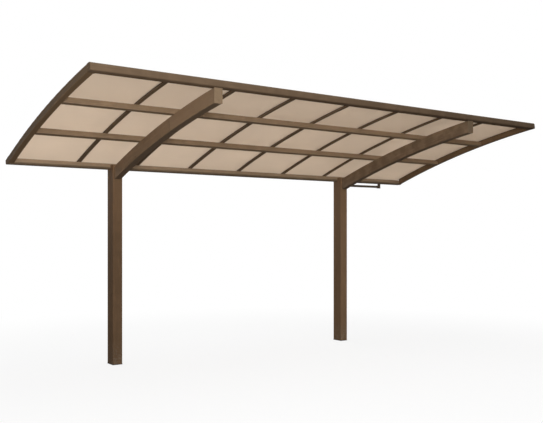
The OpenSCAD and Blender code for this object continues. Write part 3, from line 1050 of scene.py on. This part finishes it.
class PORT_OT_gutter_guard(PortOperator, bpy.types.Operator):
    """Set the leaf guard over the gutter's outlet"""

    bl_idname = "port.gutter_guard"
    bl_label = "Gutter Guard"

    def make(self, look):
        centre, radius, rise = middle("gutter_outlet"), 0.02, 0.024
        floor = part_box("gutter_outlet")[1].z + look.guard_wire
        open_top = 0.15
        wires = []
        for i in range(look.guard_bars):
            turn = 2 * math.pi * i / look.guard_bars
            out = Vector((math.cos(turn), math.sin(turn), 0))
            bar = []
            for k in range(9):
                lean = math.pi / 2 * k / 8
                reach = radius * (open_top + (1 - open_top) * math.cos(lean))
                foot = Vector((centre.x, centre.y, floor + rise * math.sin(lean)))
                bar.append(foot + out * reach)
            wires.append(bar)
        for level, share in ((0.0, 1.0), (0.62, 0.83), (1.0, open_top)):
            ring = [
                around(centre.x, centre.y, floor + rise * level, radius * share, math.tau * k / 24)
                for k in range(24)
            ]
            wires.append([*ring, ring[0]])
        material = steel("guard_wire", (0.45, 0.44, 0.42))
        lay_beads("leaf_guard", wires, look.guard_wire, 6, material)


class PORT_OT_studio(PortOperator, bpy.types.Operator):
    """Set up the floor, the backdrop, the lamps and the camera"""

    bl_idname = "port.studio"
    bl_label = "Studio"

    centre = Vector((1.69, -1.1, 1.4))
    right_post = Vector((3.38, 0.0, 0.9))
    # Name, place, what it faces, diameter, spread in degrees and watts
    lamps = (
        ("key_lamp", (-3.0, -7.8, 1.8), centre, 2.4, 180, 420.0),
        ("fill_lamp", (3.3, -6.6, 0.9), right_post, 1.6, 34, 5.5),
        ("top_lamp", (1.5, -2.0, 8.0), centre, 10.0, 180, 340.0),
        ("rear_lamp", (2.0, 9.0, 3.0), centre, 6.0, 180, 200.0),
    )

    def make(self, look):
        scene = bpy.context.scene
        scene.view_settings.view_transform = "Standard"
        self.add_floor(scene)
        self.add_sky(scene)
        for name, place, target, size, spread, power in self.lamps:
            light = bpy.data.lights.new(name, "AREA")
            light.shape = "DISK"
            light.size = size
            light.spread = math.radians(spread)
            light.energy = power * look.lamp_power
            lamp = bpy.data.objects.new(name, light)
            lamp.visible_camera = False
            lamp.visible_transmission = False
            lamp.location = place
            lamp.rotation_euler = (target - lamp.location).to_track_quat("-Z", "Y").to_euler()
            scene.collection.objects.link(lamp)
        self.add_camera(scene)

    @staticmethod
    def rays(graph, *kinds):
        """1 for any of these kinds of ray."""
        path = graph.node("ShaderNodeLightPath").socket.node.outputs
        first, *others = [Value(graph, path[kind]) for kind in kinds]
        for other in others:
            first = first.most(other)
        return first

    def add_floor(self, scene):
        """A pale floor that keeps the object's shadow and whitens with distance."""
        half = 60.0
        middle_x, middle_y, _ = self.centre
        sides = ((-half, -half), (half, -half), (half, half), (-half, half))
        corners = [(x + middle_x, y + middle_y, 0) for x, y in sides]
        mesh = bpy.data.meshes.new("studio_floor")
        mesh.from_pydata(corners, [], [(0, 1, 2, 3)])
        material, graph = new_material("studio_floor")
        whole, _ = graph.place()
        away = graph.vector("DISTANCE", whole, (middle_x, middle_y, 0.0), output="Value")
        seen = self.rays(graph, "Is Camera Ray", "Is Transmission Ray")
        white = graph.node("ShaderNodeEmission", sockets={"Color": (1, 1, 1, 1), "Strength": 1.0})
        pale = graph.mix(seen, (0.16, 0.15, 0.14, 1), (0.9, 0.9, 0.9, 1))
        matte = graph.node("ShaderNodeBsdfDiffuse", sockets={"Color": pale})
        share = seen * (0.87 + 0.13 * away.above(3.0, 7.0))
        mixed = graph.node("ShaderNodeMixShader", sockets={0: share, 1: matte, 2: white})
        graph.node("ShaderNodeOutputMaterial", sockets={"Surface": mixed})
        mesh.materials.append(material)
        floor = bpy.data.objects.new("studio_floor", mesh)
        scene.collection.objects.link(floor)

    def add_sky(self, scene):
        """White where it is seen or mirrored, and a level grey where it only lights."""
        world = bpy.data.worlds.new("studio_sky")
        world.use_nodes = True
        graph = Graph(world.node_tree)
        seen = self.rays(graph, "Is Camera Ray", "Is Glossy Ray", "Is Transmission Ray")
        sockets = {"Color": (1, 1, 1, 1), "Strength": 0.25 + 0.75 * seen}
        sky = graph.node("ShaderNodeBackground", sockets=sockets)
        graph.node("ShaderNodeOutputWorld", sockets={"Surface": sky})
        scene.world = world

    def add_camera(self, scene):
        """A level camera near the left front, turned towards the right."""
        heading = -34.88
        camera = bpy.data.cameras.new("camera")
        camera.sensor_width = 36.0
        camera.lens = 49.13
        camera.shift_y = 0.0426
        camera.clip_end = 200.0
        eye = bpy.data.objects.new("camera", camera)
        eye.location = (-3.399, -8.028, 1.4863)
        eye.rotation_euler = (math.radians(90), 0, math.radians(heading))
        scene.collection.objects.link(eye)
        scene.camera = eye


class PORT_PT_panel(bpy.types.Panel):
    """The port's steps and values"""

    bl_label = "Cycle Port"
    bl_space_type = "VIEW_3D"
    bl_region_type = "UI"
    bl_category = "Cycle Port"

    def draw(self, context):
        for name in PortLook.__annotations__:
            self.layout.prop(context.scene.port_look, name)
        for step in STEPS:
            self.layout.operator(step.bl_idname)


STEPS = (
    PORT_OT_studio,
    PORT_OT_finishes,
    PORT_OT_seals,
    PORT_OT_joints,
    PORT_OT_screws,
    PORT_OT_gutter_guard,
)
CLASSES = (PortLook, *STEPS, PORT_PT_panel)


def register():
    for cls in CLASSES:
        bpy.utils.register_class(cls)
    bpy.types.Scene.port_look = PointerProperty(type=PortLook)


def unregister():
    del bpy.types.Scene.port_look
    for cls in reversed(CLASSES):
        bpy.utils.unregister_class(cls)


def main():
    register()
    bpy.ops.port.studio()
    bpy.ops.port.finishes()
    bpy.ops.port.seals()
    bpy.ops.port.joints()
    bpy.ops.port.screws()
    bpy.ops.port.gutter_guard()


if __name__ == "__main__":
    main()
